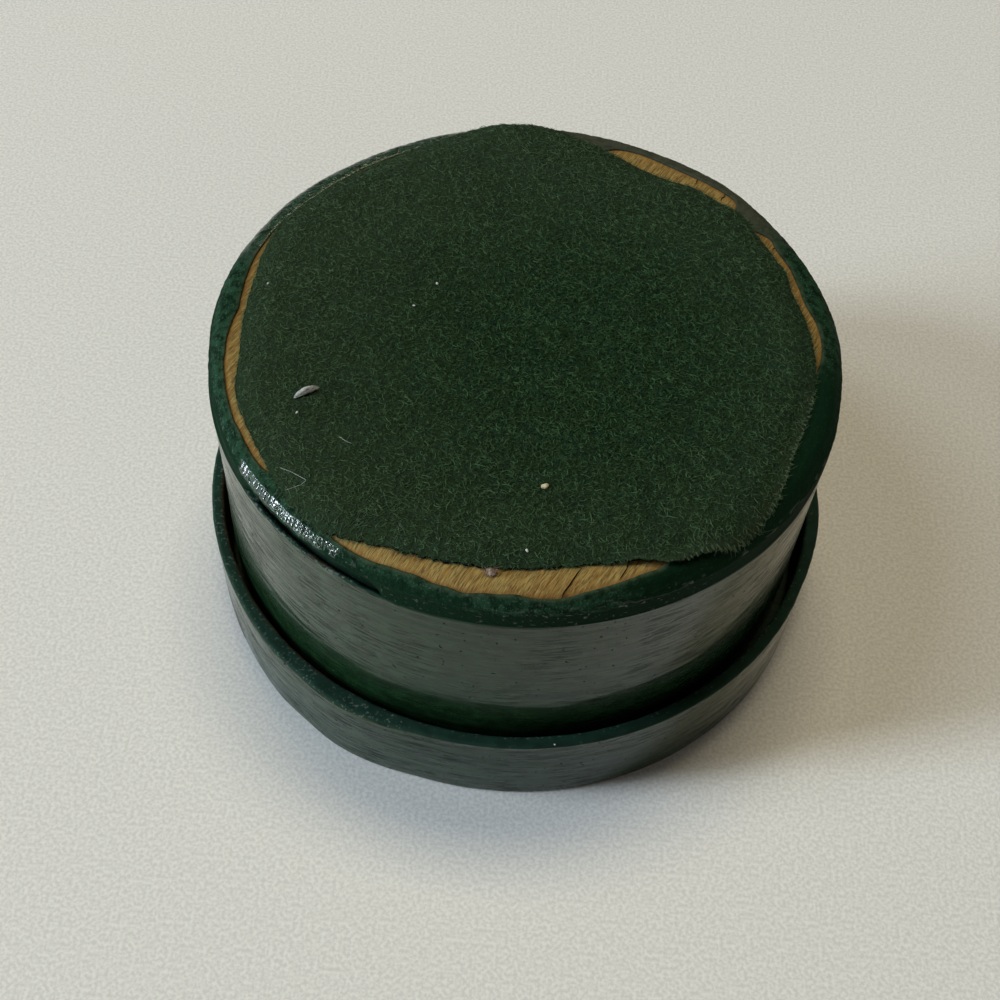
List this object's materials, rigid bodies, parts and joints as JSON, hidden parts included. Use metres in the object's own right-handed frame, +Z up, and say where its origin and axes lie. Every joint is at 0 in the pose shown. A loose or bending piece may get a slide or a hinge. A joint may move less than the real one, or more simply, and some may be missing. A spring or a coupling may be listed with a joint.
{
  "type": "trinket box",
  "caption": "Round bentwood trinket box with a felt pad under its base, standing upside down on its lift-off lid.",
  "frame": {"origin": "centre of the lid's outer face, on the surface that the box stands on upside down", "axes": "+Z up through the box's base and its felt pad, -Y towards the viewer of the picture, +X to their right"},
  "size_m": [0.1, 0.1, 0.0519],
  "materials": {
    "lid_paint": "satin dark green paint, brushed over the grain and worn at the edges",
    "box_paint": "satin dark green paint, brushed over the grain",
    "base_wood": "bare tan wood with a thick glossy dark green painted rim",
    "felt": "dark green wool felt"
  },
  "bodies": {
    "lid": {"lid_band": "lid_paint", "lid_disc": "lid_paint"},
    "box": {"body_band": "box_paint", "base_disc": "base_wood", "felt_pad": "felt"}
  },
  "joints": [
    {"name": "box_lift", "type": "slide", "parent": "lid", "child": "box", "axis": [0, 0, 1], "range_m": [0, 0.06]}
  ]
}
